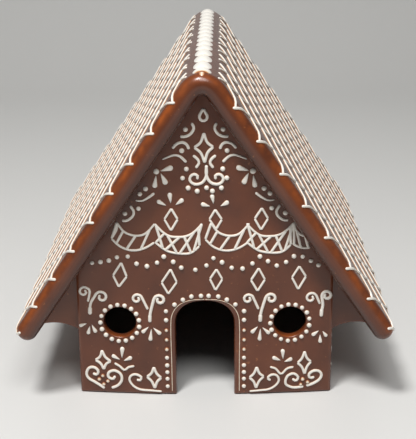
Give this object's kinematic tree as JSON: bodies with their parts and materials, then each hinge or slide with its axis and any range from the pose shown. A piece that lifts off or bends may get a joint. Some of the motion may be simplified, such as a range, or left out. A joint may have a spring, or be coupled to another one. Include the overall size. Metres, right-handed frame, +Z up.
{
  "type": "ceramic gingerbread house",
  "caption": "Hollow glazed ceramic gingerbread house with a steep overhanging roof, white piped icing ornament, an arched door and round windows, open underneath.",
  "frame": {"origin": "middle of the footprint, on the surface the house stands on", "axes": "+Z up; the front gable with the door and windows faces -Y; the ridge runs along Y"},
  "size_m": [0.215, 0.25, 0.1958],
  "materials": {
    "brown_glaze": "glossy brown glaze that thins to orange-brown on the edges",
    "white_slip": "satin white raised slip, worn thin and tan at the ends of strokes"
  },
  "bodies": {
    "root": {"house": "brown_glaze"}
  },
  "joints": []
}
